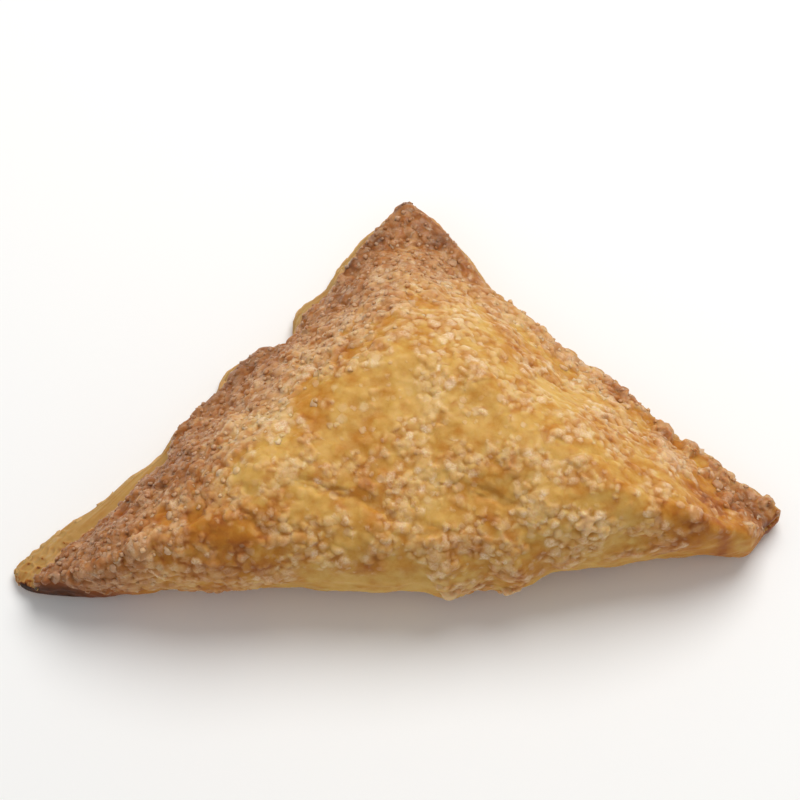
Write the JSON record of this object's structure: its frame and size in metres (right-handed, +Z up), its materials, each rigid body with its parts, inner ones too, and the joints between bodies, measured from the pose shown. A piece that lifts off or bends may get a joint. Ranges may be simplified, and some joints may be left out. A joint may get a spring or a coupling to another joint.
{
  "type": "turnover pastry",
  "caption": "Shut triangular puff pastry with a high rounded fold and sealed cut edges, baked golden under coarse sugar.",
  "frame": {"origin": "middle of the bounding box's bottom face, on the surface that the pastry lies on", "axes": "+X along the fold towards the right tip, +Y from the fold to the apex, +Z up"},
  "size_m": [0.161, 0.0934, 0.0353],
  "materials": {
    "baked_pastry": "baked puff pastry, golden to brown, with coarse baked-on sugar"
  },
  "bodies": {
    "root": {"turnover": "baked_pastry"}
  },
  "joints": []
}
